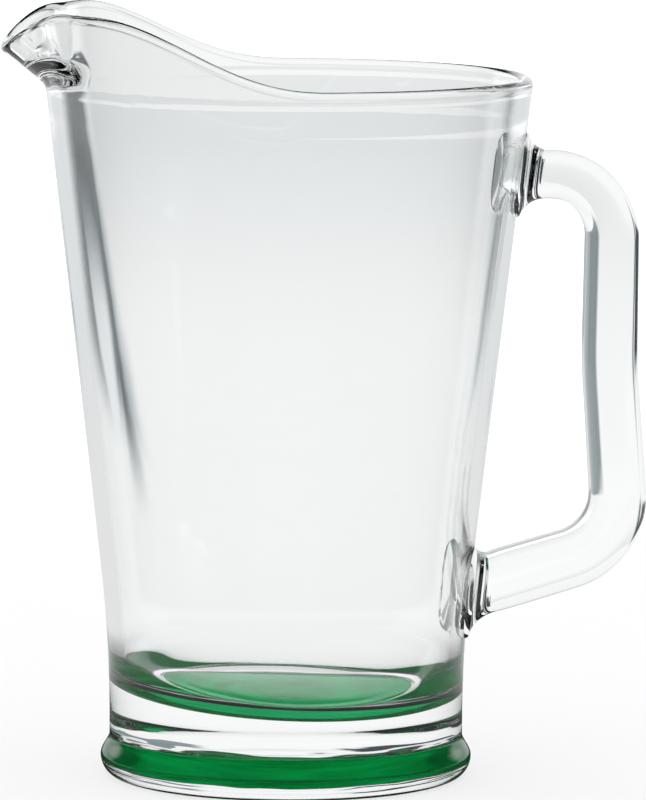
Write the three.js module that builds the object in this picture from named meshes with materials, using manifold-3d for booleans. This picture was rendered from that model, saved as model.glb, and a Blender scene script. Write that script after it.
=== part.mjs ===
// Pressed glass pitcher: a tapering vessel with a pulled pouring lip and a thick base, a glass handle
// welded to its wall at two flares, and a green lacquer coat in the shallow recess under the base.
// Millimetres, +Z up, lip towards -X, handle towards +X, standing on z = 0 with the vessel's axis on Z.

import * as THREE from 'three';
import Module from 'manifold-3d';

// Vessel
const rimRadius = 71;
const rimHeight = 205;
const wall = 4;
const heelRadius = 51.6; // where the wall stands upright above the foot
const heelHeight = 16;
const flareRadius = 400; // long sweep from the upright heel to the straight taper
const floorHeight = 24;
const floorFillet = 14;

// Foot
const footRadius = 54.2; // widest line of the bead
const footMiddle = 6; // height of that line
const footTop = 11;
const restRadius = 49; // flat ring that the pitcher stands on
const restWidth = 2.4;
const recessDepth = 1.4;
const recessDraft = 0.6;

// Pouring lip, with its angles in degrees from the tip
const lipPeak = 19; // rise of the lip's shoulders above the rim
const lipShoulder = 30;
const lipEnd = 97; // where the rise has run out into the plain rim
const lipDip = 8.9; // fall from the shoulders to the tip
const lipNotch = 22;
const lipPull = 11.5; // reach of the tip past the wall's taper
const lipBeak = 26;
const lipBase = 13; // the part of the wall below the rim that the lip grows from
const lipSeam = 3.5; // mould seam below the rim, where the lip leaves the wall
const lipThroat = 3; // height above the seam where the lip turns outwards
const throatSwell = 3; // extra thickness inside the lip's throat
const throatMiddle = 6; // its thickest place and its end, along the lip from the seam
const throatEnd = 15;
const throatSpread = 34;

// Handle, whose bar runs from the upper weld round its bends to the lower weld
const upperWeldDrop = 28.6; // below the rim
const lowerWeldHeight = 54.2;
const gripTopReach = 27.3; // from the wall to the middle of the bar
const gripWaistReach = 33.1; // the grip leans out a little below its waist
const gripWaistHeight = 121.8;
const gripFootReach = 43.4;
const gripFootHeight = 67.4;
const upperBend = 18.7;
const waistBend = 160;
const lowerBend = 20.1;
const upperBar = 14.5; // thickness of the bar at each weld
const lowerBar = 16.7;
const barWidth = 19;
const barSquareness = 4.5; // 2 is an ellipse, larger is squarer
const weldFlare = 8; // radius of the concave flare round each weld
const flareStop = 0.06; // share of that radius where the flare stops short of the wall's tangent
const weldTurn = 16; // length over which the bar turns square to the wall
const weldGap = 0.3;

// Lacquer
const coatThickness = 0.4;
const coatClearance = 0.3;

// Fineness of the facets
const turnSteps = 90;
const lipSteps = 8;
const roundSteps = 6;
const barSteps = 36;
const barSides = 20;
const flareSteps = 5;
const weldWallSteps = 6;

const wasm = await Module();
wasm.setup();

const point = (x, y) => new THREE.Vector2(x, y);
const fade = (value, from, to) => 1 - THREE.MathUtils.smootherstep(value, from, to);

function ellipse(x, y, radiusX, radiusY, from, to) {
  return new THREE.EllipseCurve(x, y, radiusX, radiusY, from, to, to < from).getPoints(roundSteps);
}

// The taper is the straight line from the rim that touches the long sweep above the heel
const sweepCentre = point(heelRadius + flareRadius, heelHeight);
const sweepToRim = point(rimRadius, rimHeight).sub(sweepCentre);
const sweepEnd = sweepToRim.angle() + Math.acos(flareRadius / sweepToRim.length());
const taperStart = point(Math.cos(sweepEnd), Math.sin(sweepEnd)).multiplyScalar(flareRadius).add(sweepCentre);
const taperSlope = (rimRadius - taperStart.x) / (rimHeight - taperStart.y);

function wallRadius(height) {
  if (height > taperStart.y) return rimRadius + (height - rimHeight) * taperSlope;
  return sweepCentre.x - Math.sqrt(flareRadius ** 2 - (height - heelHeight) ** 2);
}

// The wall's angle from upright
function wallLean(height) {
  if (height > taperStart.y) return Math.atan(taperSlope);
  return Math.asin((height - heelHeight) / flareRadius);
}

function spread(from, to, steps) {
  return Array.from({ length: steps + 1 }, (_, i) => THREE.MathUtils.lerp(from, to, i / steps));
}

// The middle of the wall, from below the lip up to the centre of its rounded edge
function lipLine(angle) {
  const rise = lipPeak * fade(angle, lipShoulder, lipEnd) - lipDip * fade(angle, 0, lipNotch);
  const pull = lipPull * fade(angle, 0, lipBeak);
  const base = rimHeight - lipBase;
  const seam = rimHeight - lipSeam;
  const edge = rimHeight - wall / 2 + rise;
  const turn = Math.min(seam + lipThroat, (seam + edge) / 2);
  const middle = (height) => wallRadius(height) - wall / 2;
  const line = new THREE.Path();
  line.moveTo(middle(base), base);
  line.lineTo(middle(seam), seam);
  line.quadraticCurveTo(middle(turn), turn, middle(edge) + pull, edge);
  return line;
}

// The wall's two faces on either side of the lip line, joined over its edge by a half round
function lipSection(angle) {
  const line = lipLine(angle);
  const [seamAt, length] = line.getCurveLengths();
  const swell = throatSwell * fade(angle, 0, throatSpread);
  const outside = [];
  const inside = [];
  for (let i = 1; i <= lipSteps; i += 1) {
    const along = line.getTangent(i / lipSteps);
    const across = point(along.y, -along.x);
    const middle = line.getPoint(i / lipSteps);
    const past = (length * i) / lipSteps - seamAt;
    const share = fade(past, throatMiddle, throatEnd) - fade(past, 0, throatMiddle);
    outside.push(middle.clone().addScaledVector(across, wall / 2));
    inside.unshift(middle.clone().addScaledVector(across, -wall / 2 - swell * share));
  }
  const edge = line.getPoint(1);
  const start = line.getTangent(1).angle() - Math.PI / 2;
  const round = ellipse(edge.x, edge.y, wall / 2, wall / 2, start, start + Math.PI);
  return [...outside, ...round.slice(1, -1), ...inside];
}

// Half of the vessel cut through its axis, from the middle of the underside round to the middle of the floor
function vesselSection(angle) {
  const lipStart = rimHeight - lipBase;
  const restInner = restRadius - restWidth;
  const underside = [point(0, recessDepth), point(restInner - recessDraft, recessDepth), point(restInner, 0)];
  const heelFoot = wallRadius(footTop);
  const beadTop = footTop - footMiddle;
  const bead = [
    ...ellipse(restRadius, footMiddle, footRadius - restRadius, footMiddle, -Math.PI / 2, 0),
    ...ellipse(heelFoot, footMiddle, footRadius - heelFoot, beadTop, 0, Math.PI / 2).slice(1),
  ];
  const sweep = spread(heelHeight, taperStart.y, roundSteps);
  const outside = [...sweep, lipStart].map((height) => point(wallRadius(height), height));
  const inner = (height) => point(wallRadius(height) - wall, height);
  const filletCentre = floorHeight + floorFillet;
  const lean = wallLean(filletCentre);
  const filletTop = filletCentre - floorFillet * Math.sin(lean);
  const filletMiddle = inner(filletTop).x - floorFillet * Math.cos(lean);
  const fillet = ellipse(filletMiddle, filletCentre, floorFillet, floorFillet, -lean, -Math.PI / 2);
  const inside = spread(lipStart, filletTop, roundSteps).map(inner);
  return [
    ...underside,
    ...bead,
    ...outside,
    ...lipSection(angle),
    ...inside,
    ...fillet.slice(1),
    point(0, floorHeight),
  ];
}

// A closed solid round the axis from sections that start and end on it, and may change with the angle from the tip
function turned(sectionAt) {
  const sections = Array.from({ length: turnSteps }, (_, k) => {
    const angle = (k * 360) / turnSteps;
    return sectionAt(Math.min(angle, 360 - angle));
  });
  const rows = sections[0].length - 2;
  const positions = [0, 0, sections[0][0].y, 0, 0, sections[0].at(-1).y];
  sections.forEach((section, k) => {
    const turn = Math.PI + (k * 2 * Math.PI) / turnSteps;
    for (const { x, y } of section.slice(1, -1)) positions.push(x * Math.cos(turn), x * Math.sin(turn), y);
  });
  const index = [];
  for (let k = 0; k < turnSteps; k += 1) {
    const here = 2 + k * rows;
    const next = 2 + ((k + 1) % turnSteps) * rows;
    index.push(0, next, here);
    for (let j = 0; j < rows - 1; j += 1) {
      index.push(here + j, next + j, next + j + 1, here + j, next + j + 1, here + j + 1);
    }
    index.push(1, here + rows - 1, next + rows - 1);
  }
  return closedGeometry(positions, index);
}

function closedGeometry(positions, index) {
  const geometry = new THREE.BufferGeometry();
  geometry.setAttribute('position', new THREE.Float32BufferAttribute(positions, 3));
  geometry.setIndex(index);
  return geometry;
}

// The bar's middle line in the plane of lip and handle: straights with a round bend at each corner
function handleLine() {
  const upperWeld = rimHeight - upperWeldDrop;
  const corners = [
    point(wallRadius(upperWeld), upperWeld),
    point(wallRadius(upperWeld) + gripTopReach, upperWeld),
    point(wallRadius(gripWaistHeight) + gripWaistReach, gripWaistHeight),
    point(wallRadius(gripFootHeight) + gripFootReach, gripFootHeight),
    point(wallRadius(lowerWeldHeight), lowerWeldHeight),
  ];
  const bends = [upperBend, waistBend, lowerBend];
  const line = new THREE.Path();
  line.moveTo(corners[0].x, corners[0].y);
  bends.forEach((radius, i) => {
    const [before, corner, after] = corners.slice(i, i + 3);
    const inward = before.clone().sub(corner).normalize();
    const outward = after.clone().sub(corner).normalize();
    const half = Math.acos(inward.dot(outward)) / 2;
    const tangentLength = radius / Math.tan(half);
    const start = corner.clone().addScaledVector(inward, tangentLength);
    const centre = inward.clone().add(outward).setLength(radius / Math.sin(half)).add(corner);
    const end = corner.clone().addScaledVector(outward, tangentLength);
    line.lineTo(start.x, start.y);
    const clockwise = inward.cross(outward) > 0;
    line.absarc(centre.x, centre.y, radius, start.sub(centre).angle(), end.sub(centre).angle(), clockwise);
  });
  line.lineTo(corners.at(-1).x, corners.at(-1).y);
  return line;
}

// How much the bar swells at a distance from the wall, on a concave round that stops short of a knife edge
function flare(distance) {
  const reach = Math.max((1 - flareStop) * weldFlare - Math.max(distance, 0), 0);
  return weldFlare - Math.sqrt(weldFlare ** 2 - reach ** 2);
}

// One rounded cross-section of the bar, which turns square to the wall near the welds
function barSection(line, length, distance) {
  const share = THREE.MathUtils.clamp(distance / length, 0, 1);
  const tangent = line.getTangent(share);
  const middle = line.getPoint(share).addScaledVector(tangent, distance - share * length);
  const heading = -Math.acos(THREE.MathUtils.clamp(tangent.x, -1, 1));
  const lean = wallLean(middle.y);
  const square = distance < length / 2 ? -lean : -Math.PI - lean;
  const fromWeld = Math.min(distance, length - distance);
  const angle = THREE.MathUtils.lerp(heading, square, fade(fromWeld, 0, weldTurn));
  const halfBar = THREE.MathUtils.lerp(upperBar, lowerBar, share) / 2 + flare(fromWeld);
  const halfWidth = barWidth / 2 + flare(fromWeld);
  const squared = (value) => Math.sign(value) * Math.abs(value) ** (2 / barSquareness);
  return Array.from({ length: barSides }, (_, i) => {
    const around = (i * 2 * Math.PI) / barSides;
    const across = squared(Math.cos(around)) * halfBar;
    const side = squared(Math.sin(around)) * halfWidth;
    return [middle.x - Math.sin(angle) * across, side, middle.y + Math.cos(angle) * across];
  });
}

// The bar from inside the wall at one weld to inside the wall at the other, with closer sections in the flares
function handleBar() {
  const line = handleLine();
  const length = line.getLength();
  const near = [-wall, ...spread(0, 1, flareSteps).map((share) => weldFlare * share ** 2)];
  const far = near.map((distance) => length - distance).reverse();
  const along = spread(weldFlare, length - weldFlare, barSteps).slice(1, -1);
  const sections = [...near, ...along, ...far].map((distance) => barSection(line, length, distance));
  const positions = sections.flat(2);
  const index = [];
  for (let k = 0; k < sections.length - 1; k += 1) {
    for (let i = 0; i < barSides; i += 1) {
      const here = k * barSides + i;
      const beside = k * barSides + ((i + 1) % barSides);
      index.push(here, here + barSides, beside + barSides, here, beside + barSides, beside);
    }
  }
  const last = (sections.length - 1) * barSides;
  for (let i = 1; i < barSides - 1; i += 1) {
    index.push(0, i, i + 1, last, last + i + 1, last + i);
  }
  return closedGeometry(positions, index);
}

function solid(geometry) {
  const vertProperties = geometry.getAttribute('position').array;
  const triVerts = new Uint32Array(geometry.getIndex().array);
  return new wasm.Manifold(new wasm.Mesh({ numProp: 3, vertProperties, triVerts }));
}

function surface(shape) {
  const { vertProperties, triVerts } = shape.getMesh();
  return closedGeometry(vertProperties, [...triVerts]);
}

// The handle ends on the outside of the wall, a weld gap away from it
function handle() {
  const lowest = lowerWeldHeight - lowerBar - weldFlare;
  const highest = rimHeight - upperWeldDrop + upperBar + weldFlare;
  const outline = spread(lowest, highest, weldWallSteps);
  const clear = outline.map((height) => point(wallRadius(height) + weldGap, height));
  const core = turned(() => [point(0, lowest), ...clear, point(0, highest)]);
  return surface(solid(handleBar()).subtract(solid(core)));
}

function baseCoat() {
  const radius = restRadius - restWidth - recessDraft - coatClearance;
  const disc = new THREE.CylinderGeometry(radius, radius, coatThickness, turnSteps);
  return disc.rotateX(Math.PI / 2).translate(0, 0, recessDepth - coatThickness / 2);
}

function piece(name, geometry, material) {
  const mesh = new THREE.Mesh(geometry, new THREE.MeshStandardMaterial(material));
  mesh.name = name;
  return mesh;
}

const clearGlass = { color: 0xe6ecec, roughness: 0.03, metalness: 0, transparent: true, opacity: 0.35 };
const greenLacquer = { color: 0x1f8f3c, roughness: 0.3, metalness: 0, transparent: true, opacity: 0.8 };

const pitcher = new THREE.Group();
pitcher.add(piece('body', turned(vesselSection), { ...clearGlass }));
pitcher.add(piece('handle', handle(), { ...clearGlass }));
pitcher.add(piece('base_coat', baseCoat(), { ...greenLacquer }));

export default pitcher;
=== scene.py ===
import math

import bpy
from mathutils import Matrix, Vector


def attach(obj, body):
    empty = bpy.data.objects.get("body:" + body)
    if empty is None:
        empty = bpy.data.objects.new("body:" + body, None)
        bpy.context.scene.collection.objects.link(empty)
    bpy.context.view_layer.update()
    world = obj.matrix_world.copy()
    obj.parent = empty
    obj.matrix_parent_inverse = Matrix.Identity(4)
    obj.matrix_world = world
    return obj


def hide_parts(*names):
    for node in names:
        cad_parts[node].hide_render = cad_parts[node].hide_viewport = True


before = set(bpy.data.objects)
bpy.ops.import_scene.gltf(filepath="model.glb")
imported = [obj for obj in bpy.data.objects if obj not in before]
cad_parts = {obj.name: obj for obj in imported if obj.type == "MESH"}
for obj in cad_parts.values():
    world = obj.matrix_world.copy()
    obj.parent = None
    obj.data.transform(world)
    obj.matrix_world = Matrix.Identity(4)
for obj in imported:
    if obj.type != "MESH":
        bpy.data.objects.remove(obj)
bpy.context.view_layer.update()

mm = 0.001  # the dictionaries below are in millimetres and degrees, Blender is in metres


# Colours and nodes

def linear(hexColour):
    values = [int(hexColour[i:i + 2], 16) / 255 for i in (1, 3, 5)]
    return [v / 12.92 if v <= 0.04045 else ((v + 0.055) / 1.055) ** 2.4 for v in values] + [1.0]


def node(tree, kind, inputs=None, **settings):
    # an input is keyed by socket name or number, and holds a value, a socket or a node with its first output
    made = tree.nodes.new(kind)
    for name, setting in settings.items():
        setattr(made, name, setting)
    for socket, given in (inputs or {}).items():
        if isinstance(given, bpy.types.Node):
            given = given.outputs[0]
        if isinstance(given, bpy.types.NodeSocket):
            tree.links.new(given, made.inputs[socket])
        else:
            made.inputs[socket].default_value = given
    return made


def newMaterial(name):
    material = bpy.data.materials.new(name)
    material.use_nodes = True
    material.node_tree.nodes.clear()
    return material, material.node_tree


# Pressed soda-lime glass: nearly colourless and polished by fire. The slow waves of a mould-chilled skin and
# long upright ripples make lines behind it swim, and level settle marks break up the lines round the foot

bodyFinish = {
    "tint": "#fcfdfd", "waveMm": 26.0, "waveDepthMm": 0.03, "rippleMm": 11.0, "rippleDepthMm": 0.06,
}
handleFinish = {
    "tint": "#fbfdfc", "waveMm": 18.0, "waveDepthMm": 0.03, "rippleMm": 20.0, "rippleDepthMm": 0.01,
}
pressing = {
    "refraction": 1.52, "upright": 0.08,  # upright is how much slower ripples change along Z
    "settleAroundMm": 22.0, "settleLevelMm": 2.5, "settleDepthMm": 0.12, "settleFrom": 13.0, "settleTo": 20.0,
}


def pressedGlass(name, finish):
    p = pressing
    material, tree = newMaterial(name)
    place = node(tree, "ShaderNodeTexCoord").outputs["Object"]
    waves = node(tree, "ShaderNodeTexNoise", {
        "Vector": place, "Scale": 1 / (finish["waveMm"] * mm), "Detail": 2.0, "Roughness": 0.4})
    stretch = (1.0, 1.0, p["upright"])
    upright = node(tree, "ShaderNodeVectorMath", {0: place, 1: stretch}, operation="MULTIPLY")
    ripples = node(tree, "ShaderNodeTexNoise", {
        "Vector": upright, "Scale": 1 / (finish["rippleMm"] * mm), "Detail": 0.0})
    slow, quick = 1 / (p["settleAroundMm"] * mm), 1 / (p["settleLevelMm"] * mm)
    level = node(tree, "ShaderNodeVectorMath", {0: place, 1: (slow, slow, quick)}, operation="MULTIPLY")
    marks = node(tree, "ShaderNodeTexNoise", {"Vector": level, "Scale": 1.0, "Detail": 1.0})
    up = node(tree, "ShaderNodeSeparateXYZ", {0: place}).outputs["Z"]
    markDepth = node(tree, "ShaderNodeMapRange", {
        "Value": up, "From Min": p["settleFrom"] * mm, "From Max": p["settleTo"] * mm,
        "To Min": p["settleDepthMm"], "To Max": 0.0})
    relief = node(tree, "ShaderNodeMath", {0: ripples, 1: finish["rippleDepthMm"]}, operation="MULTIPLY")
    for pattern, depth in ((waves, finish["waveDepthMm"]), (marks, markDepth)):
        relief = node(tree, "ShaderNodeMath", {0: pattern, 1: depth, 2: relief}, operation="MULTIPLY_ADD")
    bump = node(tree, "ShaderNodeBump", {"Height": relief, "Strength": 1.0, "Distance": mm})
    glass = node(tree, "ShaderNodeBsdfPrincipled", {
        "Normal": bump, "Base Color": linear(finish["tint"]), "Roughness": 0.0,
        "IOR": p["refraction"], "Transmission Weight": 1.0})
    node(tree, "ShaderNodeOutputMaterial", {"Surface": glass})
    return material


# Glass melted into glass, or lacquer bonded to glass, has no surface of its own: light goes straight through

def meltedJoint():
    material, tree = newMaterial("melted_glass_joint")
    node(tree, "ShaderNodeOutputMaterial", {"Surface": node(tree, "ShaderNodeBsdfTransparent")})
    return material


# Translucent green lacquer, sprayed on a turntable: the film filters what passes it, and its pigment glows
# a little, in rings that are thicker or thinner from pass to pass. Its underside is a glossy skin

def lacquerFilm(film):
    material, tree = newMaterial("green_lacquer_film")
    place = node(tree, "ShaderNodeTexCoord").outputs["Object"]
    reach = node(tree, "ShaderNodeVectorMath", {0: place}, operation="LENGTH").outputs["Value"]
    x, y, _ = node(tree, "ShaderNodeSeparateXYZ", {0: place}).outputs
    spun = node(tree, "ShaderNodeCombineXYZ", {0: x, 1: y, 2: reach})
    slow, quick = 1 / (film["aroundMm"] * mm), 1 / (film["ringMm"] * mm)
    rings = node(tree, "ShaderNodeVectorMath", {0: spun, 1: (slow, slow, quick)}, operation="MULTIPLY")
    mottle = node(tree, "ShaderNodeTexNoise", {"Vector": rings, "Scale": 1.0, "Detail": 3.0})
    tones = []
    for name in ("pigment", "filter"):
        tone = node(tree, "ShaderNodeValToRGB", {"Fac": mottle})
        for stop, position, colour in zip(tone.color_ramp.elements, film["mottleRange"], film[name]):
            stop.position = position
            stop.color = linear(colour)
        tones.append(tone)
    pigment = node(tree, "ShaderNodeBsdfDiffuse", {"Color": tones[0]})
    filtered = node(tree, "ShaderNodeBsdfTransparent", {"Color": tones[1]})
    mixed = node(tree, "ShaderNodeMixShader", {0: film["clear"], 1: pigment, 2: filtered})
    node(tree, "ShaderNodeOutputMaterial", {"Surface": mixed})
    return material


def lacquerSkin(film):
    material, tree = newMaterial("green_lacquer_skin")
    place = node(tree, "ShaderNodeTexCoord").outputs["Object"]
    peel = node(tree, "ShaderNodeTexNoise", {
        "Vector": place, "Scale": 1 / (film["peelMm"] * mm), "Detail": 2.0})
    bump = node(tree, "ShaderNodeBump", {
        "Height": peel, "Strength": film["peel"], "Distance": film["peelDepthMm"] * mm})
    skin = node(tree, "ShaderNodeBsdfPrincipled", {
        "Normal": bump, "Base Color": linear(film["skin"]), "Roughness": film["roughness"],
        "IOR": film["refraction"], "Transmission Weight": 1.0})
    node(tree, "ShaderNodeOutputMaterial", {"Surface": skin})
    return material


glassBody = pressedGlass("pressed_clear_glass", bodyFinish)
glassHandle = pressedGlass("fire_polished_handle_glass", handleFinish)
joint = meltedJoint()
print("materials ready")


# Curves and meshes

def fade(value, start, end):
    # from 1 down to 0, level at both ends
    share = min(max((value - start) / (end - start), 0.0), 1.0)
    return 1 - share ** 3 * (share * (6 * share - 15) + 10)


def spread(start, end, steps):
    return [start + (end - start) * i / steps for i in range(steps + 1)]


def ellipse(x, z, radiusX, radiusZ, start, end, steps):
    turns = [math.radians(a) for a in spread(start, end, steps)]
    return [(x + radiusX * math.cos(a), z + radiusZ * math.sin(a)) for a in turns]


def evenly(path, steps):
    # points and headings at equal distances along a polyline
    lengths = [0.0]
    for a, b in zip(path, path[1:]):
        lengths.append(lengths[-1] + (b - a).length)
    found = []
    k = 0
    for distance in spread(0.0, lengths[-1], steps):
        while k < len(path) - 2 and lengths[k + 1] < distance:
            k += 1
        share = (distance - lengths[k]) / (lengths[k + 1] - lengths[k])
        found.append((path[k].lerp(path[k + 1], share), (path[k + 1] - path[k]).normalized(), distance))
    return found


def newObject(name, points, faces):
    mesh = bpy.data.meshes.new(name)
    mesh.from_pydata(points, [], faces)
    mesh.update()
    made = bpy.data.objects.new(name, mesh)
    bpy.context.scene.collection.objects.link(made)
    return made


def smooth(piece, degrees):
    piece.data.polygons.foreach_set("use_smooth", [True] * len(piece.data.polygons))
    piece.data.set_sharp_from_angle(angle=math.radians(degrees))


def paint(piece, *materials):
    for material in materials:
        piece.data.materials.append(material)


def carve(piece, cutter):
    # the cut faces keep the cutter's material
    cut = piece.modifiers.new("cut", "BOOLEAN")
    cut.object = cutter
    cut.operation = "DIFFERENCE"
    cut.solver = "EXACT"
    cut.material_mode = "TRANSFER"
    result = bpy.data.meshes.new_from_object(piece.evaluated_get(bpy.context.evaluated_depsgraph_get()))
    piece.modifiers.clear()
    old = piece.data
    piece.data = result
    bpy.data.meshes.remove(old)


def turned(name, sectionAt, steps):
    # closed mesh round the axis, from sections that start and end on it
    sections = [sectionAt(min(k, steps - k) * 360 / steps) for k in range(steps)]
    rows = len(sections[0]) - 2
    points = [(0, 0, sections[0][0][1] * mm), (0, 0, sections[0][-1][1] * mm)]
    for k, section in enumerate(sections):
        turn = math.pi + 2 * math.pi * k / steps
        points += [(r * math.cos(turn) * mm, r * math.sin(turn) * mm, z * mm) for r, z in section[1:-1]]
    faces = []
    for k in range(steps):
        here, beside = 2 + k * rows, 2 + (k + 1) % steps * rows
        faces.append((0, beside, here))
        faces += [(here + j, beside + j, beside + j + 1, here + j + 1) for j in range(rows - 1)]
        faces.append((1, here + rows - 1, beside + rows - 1))
    return newObject(name, points, faces)


# Vessel

vessel = {
    "rimRadius": 71.0, "rimHeight": 205.0, "wall": 4.0,
    "heelRadius": 51.6, "heelHeight": 16.0, "flareRadius": 400.0,
    "floorHeight": 24.0, "floorFillet": 14.0, "floorBack": 0.06, "floorLip": 0.04,
    "footRadius": 54.2, "footMiddle": 6.0, "footTop": 12.2,
    "restRadius": 49.0, "restWidth": 2.4, "recessDepth": 1.4, "recessDraft": 0.6,
    "lipPeak": 19.0, "lipShoulder": 30.0, "lipEnd": 97.0,
    "lipDip": 8.9, "lipNotch": 22.0, "lipPull": 11.5, "lipBeak": 26.0,
    "lipBase": 13.0, "lipSeam": 3.5, "lipThroat": 3.0,
    "throatSwell": 3.0, "throatMiddle": 5.0, "throatEnd": 11.0, "throatSpread": 34.0,
    "seamRidge": 0.12, "seamWidth": 0.5,  # the line that the mould's top ring leaves
    "rimBulk": 0.6, "rimBulkEnd": 20.0,  # the wall thickens a little above it
    "turnSteps": 240, "lipSteps": 28, "curveSteps": 60, "roundSteps": 16, "wallSteps": 24,
    "crease": 35.0, "slack": 0.01, "level": 0.99,  # slack and level find the faces of floor and recess
}

# the taper is the straight line from the rim that touches the long sweep above the heel
sweepX = vessel["heelRadius"] + vessel["flareRadius"]
toRim = Vector((vessel["rimRadius"] - sweepX, vessel["rimHeight"] - vessel["heelHeight"]))
sweepEnd = math.atan2(toRim.y, toRim.x) + math.acos(vessel["flareRadius"] / toRim.length)
taperX = sweepX + vessel["flareRadius"] * math.cos(sweepEnd)
taperZ = vessel["heelHeight"] + vessel["flareRadius"] * math.sin(sweepEnd)
taperSlope = (vessel["rimRadius"] - taperX) / (vessel["rimHeight"] - taperZ)


def wallRadius(z):
    if z > taperZ:
        return vessel["rimRadius"] + (z - vessel["rimHeight"]) * taperSlope
    return sweepX - math.sqrt(vessel["flareRadius"] ** 2 - (z - vessel["heelHeight"]) ** 2)


def wallLean(z):
    if z > taperZ:
        return math.atan(taperSlope)
    return math.asin((z - vessel["heelHeight"]) / vessel["flareRadius"])


def lipLine(angle):
    # middle of the wall from below the lip up to the centre of its rounded edge
    v = vessel
    rise = v["lipPeak"] * fade(angle, v["lipShoulder"], v["lipEnd"])
    rise -= v["lipDip"] * fade(angle, 0, v["lipNotch"])
    pull = v["lipPull"] * fade(angle, 0, v["lipBeak"])
    base = v["rimHeight"] - v["lipBase"]
    seam = v["rimHeight"] - v["lipSeam"]
    edge = v["rimHeight"] - v["wall"] / 2 + rise
    turn = min(seam + v["lipThroat"], (seam + edge) / 2)
    middle = lambda z: wallRadius(z) - v["wall"] / 2
    start, control, end = (Vector((middle(seam), seam)), Vector((middle(turn), turn)),
                           Vector((middle(edge) + pull, edge)))
    curve = [start * (1 - t) ** 2 + control * 2 * t * (1 - t) + end * t * t
             for t in spread(0, 1, v["curveSteps"])]
    path = [Vector((middle(base), base))] + curve
    return evenly(path, v["lipSteps"]), (path[1] - path[0]).length


def lipSection(angle):
    # outside of the lip, its rounded edge and its inside, where the throat swells and the wall thickens
    v = vessel
    line, seamAt = lipLine(angle)
    half = v["wall"] / 2
    outside, inside = [], []
    for middle, along, distance in line[1:]:
        past = distance - seamAt
        ridge = v["seamRidge"] * math.exp(-(past / v["seamWidth"]) ** 2)
        swell = v["throatSwell"] * fade(angle, 0, v["throatSpread"])
        swell *= fade(past, v["throatMiddle"], v["throatEnd"]) - fade(past, 0, v["throatMiddle"])
        bulk = v["rimBulk"] * max(past, 0) / v["rimBulkEnd"]
        across = Vector((along.y, -along.x))
        outside.append(tuple(middle + across * (half + ridge)))
        inside.insert(0, tuple(middle - across * (half + swell + bulk)))
    edge = middle - across * bulk / 2
    start = math.degrees(math.atan2(along.y, along.x)) - 90
    rounded = ellipse(edge.x, edge.y, half + bulk / 2, half + bulk / 2, start, start + 180, v["roundSteps"])
    return outside + rounded[1:-1] + inside


def vesselSection(angle):
    # half of the vessel cut through its axis, from the middle of the underside to the middle of the floor
    v = vessel
    steps = v["roundSteps"]
    lipStart = v["rimHeight"] - v["lipBase"]
    restInner = v["restRadius"] - v["restWidth"]
    section = [(0.0, v["recessDepth"]), (restInner - v["recessDraft"], v["recessDepth"]), (restInner, 0.0)]
    section += ellipse(v["restRadius"], v["footMiddle"], v["footRadius"] - v["restRadius"], v["footMiddle"],
                       -90, 0, steps)
    for share in spread(0, 1, steps)[1:]:
        z = v["footMiddle"] + (v["footTop"] - v["footMiddle"]) * share
        drawnIn = (v["footRadius"] - wallRadius(z)) * share ** 2 * (3 - 2 * share)
        section.append((v["footRadius"] - drawnIn, z))
    section += [(wallRadius(z), z) for z in spread(v["footTop"], lipStart, v["wallSteps"])[1:]]
    section += lipSection(angle)
    centre = v["floorHeight"] + v["floorFillet"]
    lean = wallLean(centre)
    filletTop = centre - v["floorFillet"] * math.sin(lean)
    inner = lambda z: wallRadius(z) - v["wall"]
    section += [(inner(z), z) for z in spread(lipStart, filletTop, v["wallSteps"])]
    section += ellipse(inner(filletTop) - v["floorFillet"] * math.cos(lean), centre,
                       v["floorFillet"], v["floorFillet"], -math.degrees(lean), -90, steps)[1:]
    return section + [(0.0, v["floorHeight"])]


# Handle

handle = {
    "upperWeldDrop": 28.6, "lowerWeldHeight": 54.2, "gripTopReach": 27.3,
    "gripWaistReach": 33.1, "gripWaistHeight": 121.8, "gripFootReach": 43.4, "gripFootHeight": 67.4,
    "upperBend": 18.7, "waistBend": 160.0, "lowerBend": 20.1,
    "upperBar": 14.5, "lowerBar": 16.7, "barWidth": 19.0, "squareness": 4.5,
    "weldFlare": 8.0, "flareStop": 0.06, "weldTurn": 16.0,
    "handleInset": 0.03, "bodyInset": 0.06,  # how far handle and cut reach into the wall's outside
    "sides": 64, "barSteps": 120, "flareSteps": 14, "bendSteps": 40, "fineSteps": 2000,
}


def handleLine():
    h = handle
    upper = vessel["rimHeight"] - h["upperWeldDrop"]
    corners = [
        Vector((wallRadius(upper), upper)),
        Vector((wallRadius(upper) + h["gripTopReach"], upper)),
        Vector((wallRadius(h["gripWaistHeight"]) + h["gripWaistReach"], h["gripWaistHeight"])),
        Vector((wallRadius(h["gripFootHeight"]) + h["gripFootReach"], h["gripFootHeight"])),
        Vector((wallRadius(h["lowerWeldHeight"]), h["lowerWeldHeight"])),
    ]
    path = [corners[0]]
    for i, radius in enumerate((h["upperBend"], h["waistBend"], h["lowerBend"])):
        before, corner, after = corners[i:i + 3]
        back, ahead = (before - corner).normalized(), (after - corner).normalized()
        half = back.angle(ahead) / 2
        centre = corner + (back + ahead).normalized() * radius / math.sin(half)
        start = corner + back * radius / math.tan(half) - centre
        turn = math.copysign(math.pi - 2 * half, back.x * ahead.y - back.y * ahead.x)
        for a in spread(0, -turn, h["bendSteps"]):
            path.append(centre + Matrix.Rotation(a, 2) @ start)
    return path + [corners[-1]]


def flare(distance):
    radius = handle["weldFlare"]
    reach = max((1 - handle["flareStop"]) * radius - max(distance, 0), 0)
    return radius - math.sqrt(radius ** 2 - reach ** 2)


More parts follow.
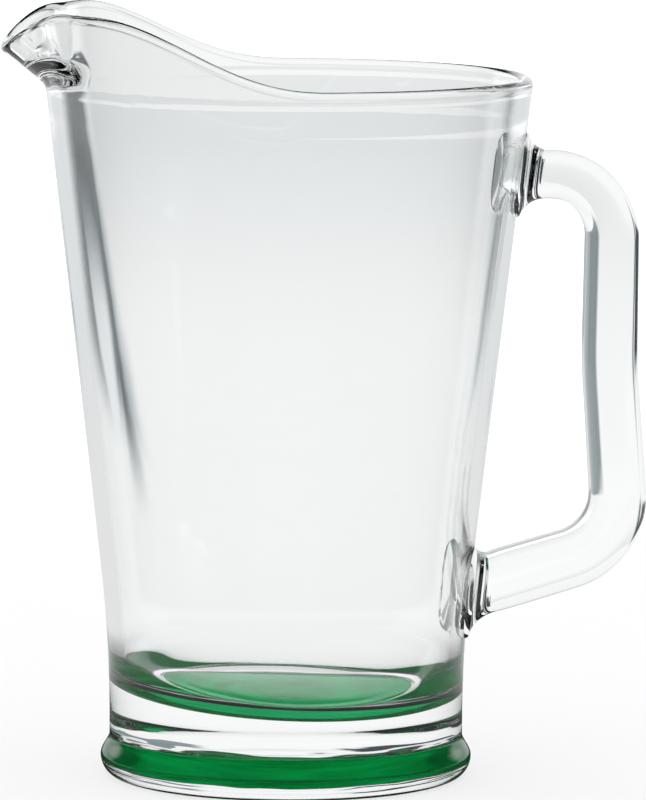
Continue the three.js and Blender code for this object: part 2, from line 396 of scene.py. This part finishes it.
def handleBar(name):
    h = handle
    path = handleLine()
    length = sum((b - a).length for a, b in zip(path, path[1:]))
    near = [-vessel["wall"]] + [h["weldFlare"] * s ** 2 for s in spread(0, 1, h["flareSteps"])]
    places = near + spread(h["weldFlare"], length - h["weldFlare"], h["barSteps"])[1:-1]
    places += [length - d for d in reversed(near)]
    fine = evenly(path, h["fineSteps"])
    points, faces = [], []
    for distance in places:
        share = min(max(distance / length, 0), 1)
        middle, along, at = fine[round(share * h["fineSteps"])]
        middle = middle + along * (distance - at)
        fromWeld = min(distance, length - distance)
        lean = wallLean(middle.y)
        heading = -math.acos(min(max(along.x, -1), 1))
        square = -lean if distance < length / 2 else -math.pi - lean
        angle = heading + (square - heading) * fade(fromWeld, 0, h["weldTurn"])
        halfBar = (h["upperBar"] + (h["lowerBar"] - h["upperBar"]) * share) / 2 + flare(fromWeld)
        halfWidth = h["barWidth"] / 2 + flare(fromWeld)
        for i in range(h["sides"]):
            around = 2 * math.pi * i / h["sides"]
            across, side = [math.copysign(abs(w) ** (2 / h["squareness"]), w)
                            for w in (math.cos(around), math.sin(around))]
            points.append(((middle.x - math.sin(angle) * across * halfBar) * mm, side * halfWidth * mm,
                           (middle.y + math.cos(angle) * across * halfBar) * mm))
    sides = h["sides"]
    for k in range(len(places) - 1):
        for i in range(sides):
            here, beside = k * sides + i, k * sides + (i + 1) % sides
            faces.append((here, here + sides, beside + sides, beside))
    faces.append(tuple(range(sides)))
    faces.append(tuple(reversed(range(len(points) - sides, len(points)))))
    return newObject(name, points, faces)


def weldCore(name, inset):
    # the vessel without its hollow, drawn in a little from the wall's outside
    low = handle["lowerWeldHeight"] - handle["lowerBar"] - handle["weldFlare"]
    high = vessel["rimHeight"] - handle["upperWeldDrop"] + handle["upperBar"] + handle["weldFlare"]
    wall = [(wallRadius(z) - inset, z) for z in spread(low, high, vessel["wallSteps"] * 2)]
    return turned(name, lambda angle: [(0, low)] + wall + [(0, high)], vessel["turnSteps"])


bodyGlass = turned("body_glass", vesselSection, vessel["turnSteps"])
paint(bodyGlass, glassBody, joint)
for face in bodyGlass.data.polygons:  # the ceiling of the recess, where the lacquer bonds
    offCeiling = abs(face.center.z / mm - vessel["recessDepth"])
    onCeiling = offCeiling < vessel["slack"] and abs(face.normal.z) > vessel["level"]
    face.material_index = 1 if onCeiling else 0

for point in bodyGlass.data.vertices:  # the floor inside settled askew, higher at the back and near the lip
    x, y, z = point.co
    inside = math.hypot(x, y) < (wallRadius(z / mm) - vessel["wall"] + vessel["slack"]) * mm
    if inside and z > (vessel["floorHeight"] - vessel["slack"]) * mm:
        kept = fade(z / mm, vessel["floorHeight"], vessel["floorHeight"] + vessel["floorFillet"])
        point.co.z += (y * vessel["floorBack"] - x * vessel["floorLip"]) * kept

handleGlass = handleBar("handle_glass")
paint(handleGlass, glassHandle)
weldCutter = handleBar("weld_cutter")
paint(weldCutter, joint)
shallowCore = weldCore("shallow_core", handle["handleInset"])
deepCore = weldCore("deep_core", handle["bodyInset"])
paint(shallowCore, joint)
paint(deepCore, joint)
carve(handleGlass, shallowCore)
carve(weldCutter, deepCore)
carve(bodyGlass, weldCutter)
for tool in (weldCutter, shallowCore, deepCore):
    bpy.data.objects.remove(tool)
smooth(bodyGlass, vessel["crease"])
smooth(handleGlass, vessel["crease"])
for piece, slotName, nodeName in ((bodyGlass, "clear_glass", "body"),
                                  (handleGlass, "handle_glass", "handle")):
    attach(piece, "root")
    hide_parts(nodeName)
print("glass ready", len(bodyGlass.data.polygons), len(handleGlass.data.polygons))


# Lacquer coat under the base

coat = {
    "thickness": 0.4, "clearance": 0.3, "bond": 0.02,  # bond is a gap so that film and glass don't flicker
    "edgeRound": 0.15, "edgeSteps": 6, "steps": 120, "crease": 50.0,
    "pigment": ("#067c3e", "#14b866"), "filter": ("#0ea466", "#20c888"), "clear": 0.6,
    "skin": "#a8e0bc", "roughness": 0.05, "refraction": 1.5,
    "ringMm": 8.0, "aroundMm": 25.0, "mottleRange": (0.3, 0.7),
    "peel": 0.3, "peelMm": 1.5, "peelDepthMm": 0.02,
}


def coatSection(angle):
    top = vessel["recessDepth"] - coat["bond"]
    radius = vessel["restRadius"] - vessel["restWidth"] - vessel["recessDraft"] - coat["clearance"]
    low = vessel["recessDepth"] - coat["thickness"]
    r = coat["edgeRound"]
    edge = ellipse(radius - r, low + r, r, r, -90, 0, coat["edgeSteps"])
    return [(0, low)] + edge + [(radius, top), (0, top)]


baseCoat = turned("base_coat_film", coatSection, coat["steps"])
paint(baseCoat, lacquerSkin(coat), lacquerFilm(coat))
for face in baseCoat.data.polygons:
    face.material_index = 1 if face.normal.z > vessel["level"] else 0
smooth(baseCoat, coat["crease"])
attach(baseCoat, "root")
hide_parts("base_coat")
print("coat ready")


# Studio of lit white cotton cloth with darker gaps, which draw the dark lines in the glass

studio = {
    "radius": 900.0, "ringLow": -200.0, "ringHigh": 1200.0, "eye": 100.0, "steps": 96,
    "facing": 5.2, "every": 180.0, "panel": 1.03, "fill": 1.4, "white": "#ffffff", "shade": "#c4dae4",
    # bands in the cloth: from and to in degrees from the camera's line, soft edge, level outside and inside
    "bands": {
        "left": (-58.0, -12.5, 2.0, 1.0, 0.1), "right": (18.4, 72.0, 3.0, 1.0, 0.38),
        "stripe": (-18.5, -14.5, 1.2, 0.0, 0.9), "line": (-14.0, -12.5, 0.8, 1.0, 0.1),
    },
    # levels by height, which is the upward part of a light's direction: from, to, level below and above
    "heights": {
        "gapTop": (0.06, 0.1, 0.0, 1.0), "gapFoot": (-0.15, -0.085, 1.0, 0.0),
        "stripeTop": (-0.085, 0.0, 1.0, 0.0), "lineFoot": (-0.2, -0.14, 1.0, 0.0),
        "dimming": (-0.1, 0.03, 1.0, 0.89), "crest": (0.033, 0.045, 0.0, 1.0),
        "ceiling": (0.6, 0.85, 1.0, 0.45),
        "backdropTop": (0.36, 0.48, 1.0, 0.0), "backdropFoot": (0.0, 0.12, 0.8, 1.35),
    },
    "leanFrom": -0.25, "leanTo": 0.05, "leanLow": -6.5, "leanHigh": 2.3,  # the bands on the left lean
    "room": 0.04, "wrap": 48.0, "wrapEdge": 5.73,  # dim room, and the backdrop's width to either side
}


def studioLight(tree, way):
    s = studio
    x, y, z = node(tree, "ShaderNodeSeparateXYZ", {0: way}).outputs
    bearing = node(tree, "ShaderNodeMath", {0: x, 1: y}, operation="ARCTAN2")
    turn = node(tree, "ShaderNodeMath", {0: bearing, 1: math.radians(s["facing"])}, operation="SUBTRACT")
    half = math.radians(s["every"]) / 2
    off = node(tree, "ShaderNodeMath", {0: turn, 1: half, 2: -half}, operation="WRAP")
    lean = node(tree, "ShaderNodeMapRange", {
        "Value": z, "From Min": s["leanFrom"], "From Max": s["leanTo"],
        "To Min": math.radians(s["leanLow"]), "To Max": math.radians(s["leanHigh"])})
    leaning = node(tree, "ShaderNodeMath", {0: off, 1: lean}, operation="ADD")
    aside = node(tree, "ShaderNodeMath", {0: turn, 1: math.pi}, operation="PINGPONG")

    level = {"panel": s["panel"], "room": s["room"]}
    for name, (start, end, below, above) in s["heights"].items():
        level[name] = node(tree, "ShaderNodeMapRange", {
            "Value": z, "From Min": start, "From Max": end, "To Min": below, "To Max": above},
            interpolation_type="SMOOTHSTEP")
    for name, (start, end, edge, outside, inside) in s["bands"].items():
        angle = off if name == "right" else leaning
        middle, reach = math.radians(start + end) / 2, (end - start) / 2
        away = node(tree, "ShaderNodeMath", {0: angle, 1: middle}, operation="SUBTRACT")
        apart = node(tree, "ShaderNodeMath", {0: away}, operation="ABSOLUTE")
        level[name] = node(tree, "ShaderNodeMapRange", {
            "Value": apart, "From Min": math.radians(reach - edge), "From Max": math.radians(reach + edge),
            "To Min": inside, "To Max": outside}, interpolation_type="SMOOTHSTEP")
    level["backdrop"] = node(tree, "ShaderNodeMapRange", {
        "Value": aside, "From Min": math.radians(s["wrap"] - s["wrapEdge"]),
        "From Max": math.radians(s["wrap"] + s["wrapEdge"]), "To Min": 1.0, "To Max": 0.0},
        interpolation_type="SMOOTHSTEP")

    joins = (
        # straight through the glass: two gaps that end above and below
        ("gaps", "MINIMUM", "left", "right"), ("gaps", "MAXIMUM", "gaps", "gapTop"),
        ("gaps", "MAXIMUM", "gaps", "gapFoot"),
        # a lighter stripe in the left one, and beside it a thin dark line that goes further down
        ("stripe", "MULTIPLY", "stripe", "stripeTop"), ("gaps", "MAXIMUM", "gaps", "stripe"),
        ("line", "MAXIMUM", "line", "gapTop"), ("line", "MAXIMUM", "line", "lineFoot"),
        ("gaps", "MINIMUM", "gaps", "line"),
        # cloth that dims upwards, apart from a white crest that shows above the seam
        ("cloth", "MAXIMUM", "dimming", "crest"), ("cloth", "MULTIPLY", "cloth", "ceiling"),
        ("cloth", "MULTIPLY", "cloth", "panel"), ("cloth", "MULTIPLY", "cloth", "gaps"),
        # mirrored by the glass: a dim room with the white backdrop at one end
        ("backdrop", "MULTIPLY", "backdrop", "backdropTop"),
        ("backdrop", "MULTIPLY", "backdrop", "backdropFoot"),
        ("mirror", "MAXIMUM", "backdrop", "room"),
    )
    for result, operation, first, second in joins:
        level[result] = node(tree, "ShaderNodeMath", {0: level[first], 1: level[second]}, operation=operation)

    path = node(tree, "ShaderNodeLightPath").outputs
    mirrored = node(tree, "ShaderNodeMath", {0: path["Glossy Depth"], 1: 1.0}, operation="MINIMUM")
    seen = node(tree, "ShaderNodeMix", {"Factor": mirrored, "A": level["cloth"], "B": level["mirror"]})
    scattered = node(tree, "ShaderNodeMath", {0: path["Diffuse Depth"], 1: 1.0}, operation="MINIMUM")
    plain = node(tree, "ShaderNodeMath", {0: path["Is Camera Ray"], 1: scattered}, operation="MAXIMUM")
    light = node(tree, "ShaderNodeMix", {"Factor": plain, "A": seen, "B": s["fill"]})
    tone = node(tree, "ShaderNodeValToRGB", {"Fac": light})
    for stop, colour in zip(tone.color_ramp.elements, (s["shade"], s["white"])):  # unlit parts are bluish
        stop.color = linear(colour)
    return {"Color": tone, "Strength": light}


def ringPoints(radius, height, steps):
    turns = [2 * math.pi * k / steps for k in range(steps)]
    return [(math.cos(a) * radius * mm, math.sin(a) * radius * mm, height * mm) for a in turns]


def softBoxes():
    # the ring stands round the object, and only the glass and the floor see it
    count = studio["steps"]
    points = [point for height in (studio["ringLow"], studio["ringHigh"])
              for point in ringPoints(studio["radius"], height, count)]
    faces = [(k, (k + 1) % count, count + (k + 1) % count, count + k) for k in range(count)]
    ring = newObject("soft_boxes", points, faces)
    material, tree = newMaterial("lit_cloth")
    place = node(tree, "ShaderNodeTexCoord").outputs["Object"]
    eye = (0, 0, studio["eye"] * mm)
    away = node(tree, "ShaderNodeVectorMath", {0: place, 1: eye}, operation="SUBTRACT")
    way = node(tree, "ShaderNodeVectorMath", {0: away}, operation="NORMALIZE")
    cloth = node(tree, "ShaderNodeEmission", studioLight(tree, way))
    node(tree, "ShaderNodeOutputMaterial", {"Surface": cloth})
    material.cycles.emission_sampling = "NONE"
    paint(ring, material)
    ring.visible_camera = False


def studioWorld():
    world = bpy.data.worlds.new("studio")
    bpy.context.scene.world = world
    world.use_nodes = True
    tree = world.node_tree
    tree.nodes.clear()
    way = node(tree, "ShaderNodeTexCoord").outputs["Generated"]
    sky = node(tree, "ShaderNodeBackground", studioLight(tree, way))
    node(tree, "ShaderNodeOutputWorld", {"Surface": sky})
    world.cycles.sampling_method = "NONE"


# Matt white paper: it takes the soft shadow at the foot and runs into the white background without an edge.
# Mirrored light sees a painted shadow on it in a ring round the foot

paper = {
    "radius": 890.0, "solid": 500.0, "steps": 96, "matt": 0.25,  # matt is the share that takes the shadow
    # painted shadow that only mirrored light sees, dark in a ring round the foot: from and to in reach, level
    # nearer and further
    "shadowAndEdgeZones": {"under": (44.0, 47.0, 1.0, 0.012), "shadowOuter": (90.0, 260.0, 0.012, 0.75)},
}


def studioFloor():
    points = ringPoints(paper["radius"], 0.0, paper["steps"])
    floor = newObject("floor", points, [tuple(range(len(points)))])
    material, tree = newMaterial("white_paper")
    place = node(tree, "ShaderNodeTexCoord").outputs["Object"]
    reach = node(tree, "ShaderNodeVectorMath", {0: place}, operation="LENGTH").outputs["Value"]
    shadowAndEdgeZones = {**paper["shadowAndEdgeZones"], "edge": (paper["solid"], paper["radius"], 0.0, 1.0)}
    for name, (start, end, nearer, further) in shadowAndEdgeZones.items():
        shadowAndEdgeZones[name] = node(tree, "ShaderNodeMapRange", {
            "Value": reach, "From Min": start * mm, "From Max": end * mm,
            "To Min": nearer, "To Max": further}, interpolation_type="SMOOTHSTEP")
    path = node(tree, "ShaderNodeLightPath").outputs
    mirrored = node(tree, "ShaderNodeMath", {0: path["Glossy Depth"], 1: 1.0}, operation="MINIMUM")
    # painted shadow: the paper's glow is dark in a ring round the foot, for mirrored light only
    ring = node(tree, "ShaderNodeMath", {0: shadowAndEdgeZones["under"], 1: shadowAndEdgeZones["shadowOuter"]}, operation="MAXIMUM")
    level = node(tree, "ShaderNodeMix", {"Factor": mirrored, "A": 1.0, "B": ring})
    lift = node(tree, "ShaderNodeMix", {
        "Factor": path["Is Camera Ray"], "A": studio["panel"], "B": 1 - paper["matt"] * studio["fill"]})
    strength = node(tree, "ShaderNodeMath", {0: level, 1: lift}, operation="MULTIPLY")
    glow = node(tree, "ShaderNodeEmission", {"Color": linear(studio["white"]), "Strength": strength})
    tone = node(tree, "ShaderNodeMath", {0: path["Is Camera Ray"], 1: paper["matt"]}, operation="MULTIPLY")
    sheet = node(tree, "ShaderNodeBsdfDiffuse", {"Color": tone})
    both = node(tree, "ShaderNodeAddShader", {0: sheet, 1: glow})
    gone = node(tree, "ShaderNodeBsdfTransparent")
    mixed = node(tree, "ShaderNodeMixShader", {0: shadowAndEdgeZones["edge"], 1: both, 2: gone})
    node(tree, "ShaderNodeOutputMaterial", {"Surface": mixed})
    paint(floor, material)


softBoxes()
studioFloor()
studioWorld()

cycles = bpy.context.scene.cycles  # light goes through many surfaces of a glass
cycles.max_bounces = 32
cycles.transmission_bounces = 32
cycles.glossy_bounces = 16
cycles.transparent_max_bounces = 32
bpy.context.scene.view_settings.view_transform = "Standard"
print("studio ready")


# Camera at the photograph's angle, whose image is 646 by 800 pixels

view = {"azimuth": -5.2, "elevation": 6.7, "distance": 2199.0, "aim": (10.4, 0.0, 110.0), "roll": 0.32,
        "pixelsPerMm": 3.43, "imageHeight": 800.0, "sensor": 36.0}


def photoCamera():
    turn, tilt = math.radians(view["azimuth"]), math.radians(view["elevation"])
    back = Vector((math.sin(turn) * math.cos(tilt), -math.cos(turn) * math.cos(tilt), math.sin(tilt)))
    data = bpy.data.cameras.new("photo_camera")
    data.sensor_width = view["sensor"]
    data.lens = view["sensor"] * view["pixelsPerMm"] * view["distance"] / view["imageHeight"]
    data.clip_end = 20
    camera = bpy.data.objects.new("photo_camera", data)
    camera.location = (Vector(view["aim"]) + back * view["distance"]) * mm
    look = back.to_track_quat("Z", "Y").to_matrix()
    camera.rotation_euler = (look @ Matrix.Rotation(math.radians(view["roll"]), 3, "Z")).to_euler()
    bpy.context.scene.collection.objects.link(camera)
    bpy.context.scene.camera = camera


photoCamera()
